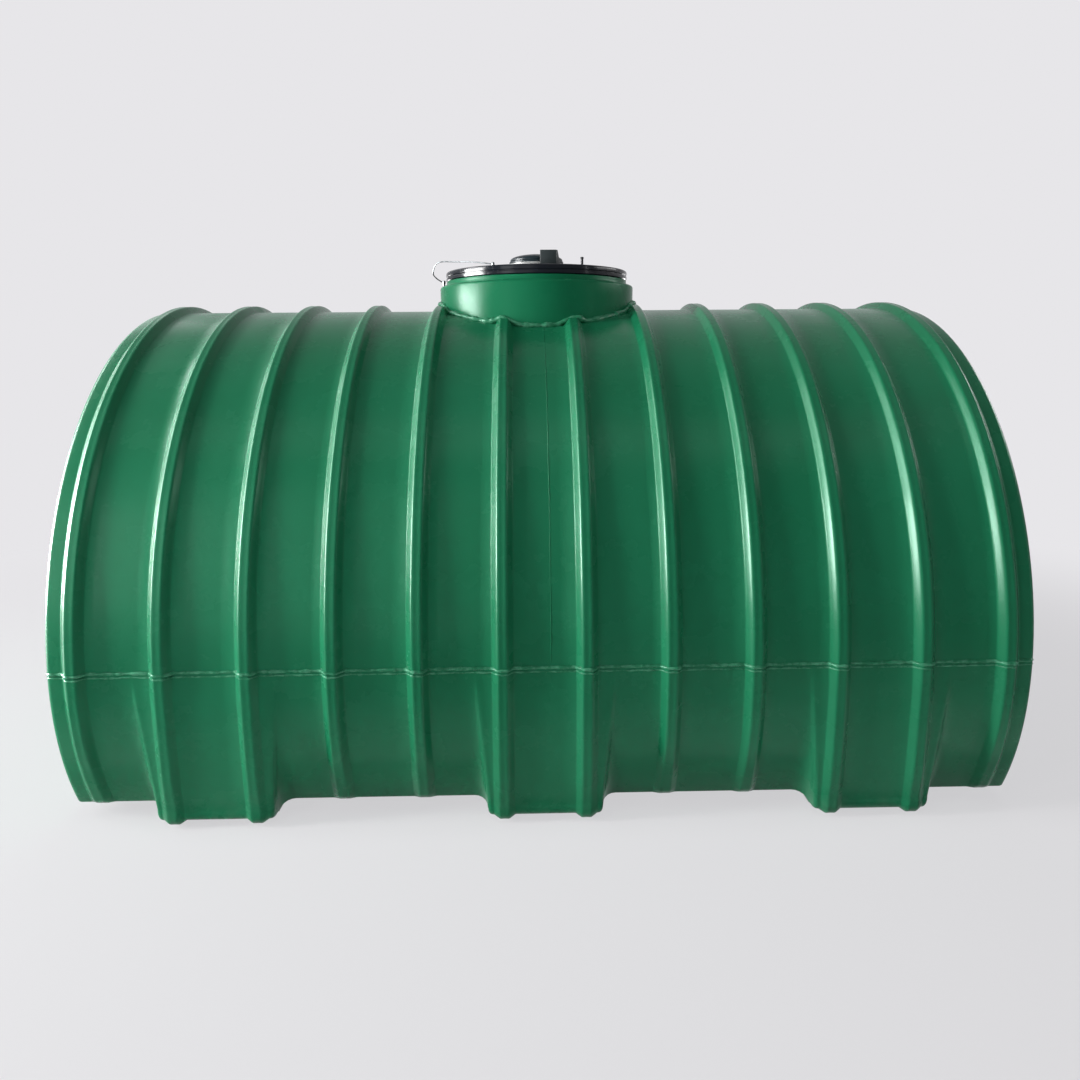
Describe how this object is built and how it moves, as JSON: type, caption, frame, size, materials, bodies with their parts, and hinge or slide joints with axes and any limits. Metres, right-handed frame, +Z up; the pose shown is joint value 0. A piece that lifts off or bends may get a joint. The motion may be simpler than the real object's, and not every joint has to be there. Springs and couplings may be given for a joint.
{
  "type": "horizontal water tank",
  "caption": "Horizontal corrugated plastic water tank with a flat belly on saddle feet, with a filling neck and a vented screw lid.",
  "frame": {"origin": "on the floor under the middle of the tank, at the level of the runners", "axes": "+X along the barrel, +Y to the back, +Z up; the pictured side looks to -Y"},
  "size_m": [2.0426, 1.4002, 1.2522],
  "materials": {
    "green_plastic": "satin moulded polyethylene, dark green",
    "black_plastic": "glossy moulded black plastic",
    "grey_plastic": "grey moulded plastic",
    "steel": "bright wire and studs"
  },
  "bodies": {
    "root": {"end_wall_left": "green_plastic", "end_wall_right": "green_plastic", "handle_tab": "grey_plastic", "lid": "black_plastic", "lid_pin": "steel", "neck_bead": "green_plastic", "neck_collar": "green_plastic", "neck_lip": "green_plastic", "rib_01": "green_plastic", "rib_02": "green_plastic", "rib_03": "green_plastic", "rib_04": "green_plastic", "rib_05_back": "green_plastic", "rib_05_front": "green_plastic", "rib_06_back": "green_plastic", "rib_06_front": "green_plastic", "rib_07_back": "green_plastic", "rib_07_front": "green_plastic", "rib_08_back": "green_plastic", "rib_08_front": "green_plastic", "rib_09": "green_plastic", "rib_10": "green_plastic", "rib_11": "green_plastic", "rib_12": "green_plastic", "saddle_foot_centre": "green_plastic", "saddle_foot_left": "green_plastic", "saddle_foot_right": "green_plastic", "seam_flash_back": "green_plastic", "seam_flash_front": "green_plastic", "shell_back": "green_plastic", "shell_belly": "green_plastic", "shell_front": "green_plastic", "shell_lower_back": "green_plastic", "shell_lower_front": "green_plastic", "shell_top": "green_plastic", "tether_eye_lid": "steel", "tether_eye_neck": "steel", "tether_wire": "steel", "vent_base": "grey_plastic", "vent_cap": "black_plastic"}
  },
  "joints": []
}
